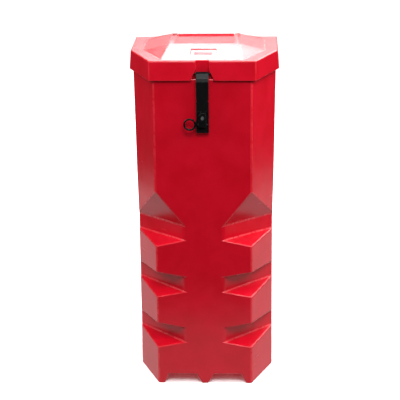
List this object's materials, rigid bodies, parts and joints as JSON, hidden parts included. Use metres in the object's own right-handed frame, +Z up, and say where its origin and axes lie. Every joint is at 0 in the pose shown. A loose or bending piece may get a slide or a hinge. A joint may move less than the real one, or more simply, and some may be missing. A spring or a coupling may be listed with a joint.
{
  "type": "fire extinguisher box",
  "caption": "Top-loading moulded plastic box with a hinged lid, a strap latch and a ring-pulled seal pin, with padded insides and holes for bolting to a wall.",
  "frame": {"origin": "on the floor, at the centre of the outline", "axes": "+Z up, the latch on the front facing -Y, the wall side facing +Y, +X to the right of someone facing the front"},
  "size_m": [0.3046, 0.267, 0.696],
  "materials": {
    "box_plastic": "red polyethylene with a fine satin texture",
    "badge_plastic": "red polyethylene, smooth",
    "black_rubber": "satin moulded rubber",
    "black_nylon": "semi-gloss moulded nylon",
    "foam": "matt closed-cell foam",
    "mat_rubber": "ribbed matt rubber",
    "steel": "zinc-plated"
  },
  "bodies": {
    "body": {"body_shell": "box_plastic", "backing_plate_upper": "steel", "backing_plate_lower": "steel", "plate_rivets": "steel", "base_mat": "mat_rubber", "cradle_pads_left": "foam", "cradle_pads_right": "foam", "back_cushions": "foam", "hinge_pin": "steel", "hinge_cap_left": "black_nylon", "hinge_cap_right": "black_nylon", "keeper": "black_nylon", "keeper_screw": "steel", "keeper_washer": "steel", "keeper_nut": "steel"},
    "lid": {"lid_shell": "box_plastic", "lid_gasket": "foam", "lid_hold_down_pad": "foam", "badge_plate": "badge_plastic", "strap_pivot_pin": "steel", "pivot_clip_left": "steel", "pivot_clip_right": "steel"},
    "latch": {"latch_strap": "black_rubber", "strap_slot_frame": "black_nylon"},
    "seal": {"seal_pin": "black_nylon"}
  },
  "joints": [
    {"name": "lid_hinge", "type": "hinge", "parent": "body", "child": "lid", "pos_m": [0, 0.1215, 0.688], "axis": [-1, 0, 0], "range_deg": [0, 110]},
    {"name": "strap_swing", "type": "hinge", "parent": "lid", "child": "latch", "pos_m": [0, -0.114, 0.6618], "axis": [-1, 0, 0], "range_deg": [0, 140]},
    {"name": "pin_slide", "type": "slide", "parent": "body", "child": "seal", "axis": [-1, 0, 0], "range_m": [0, 0.03]}
  ]
}
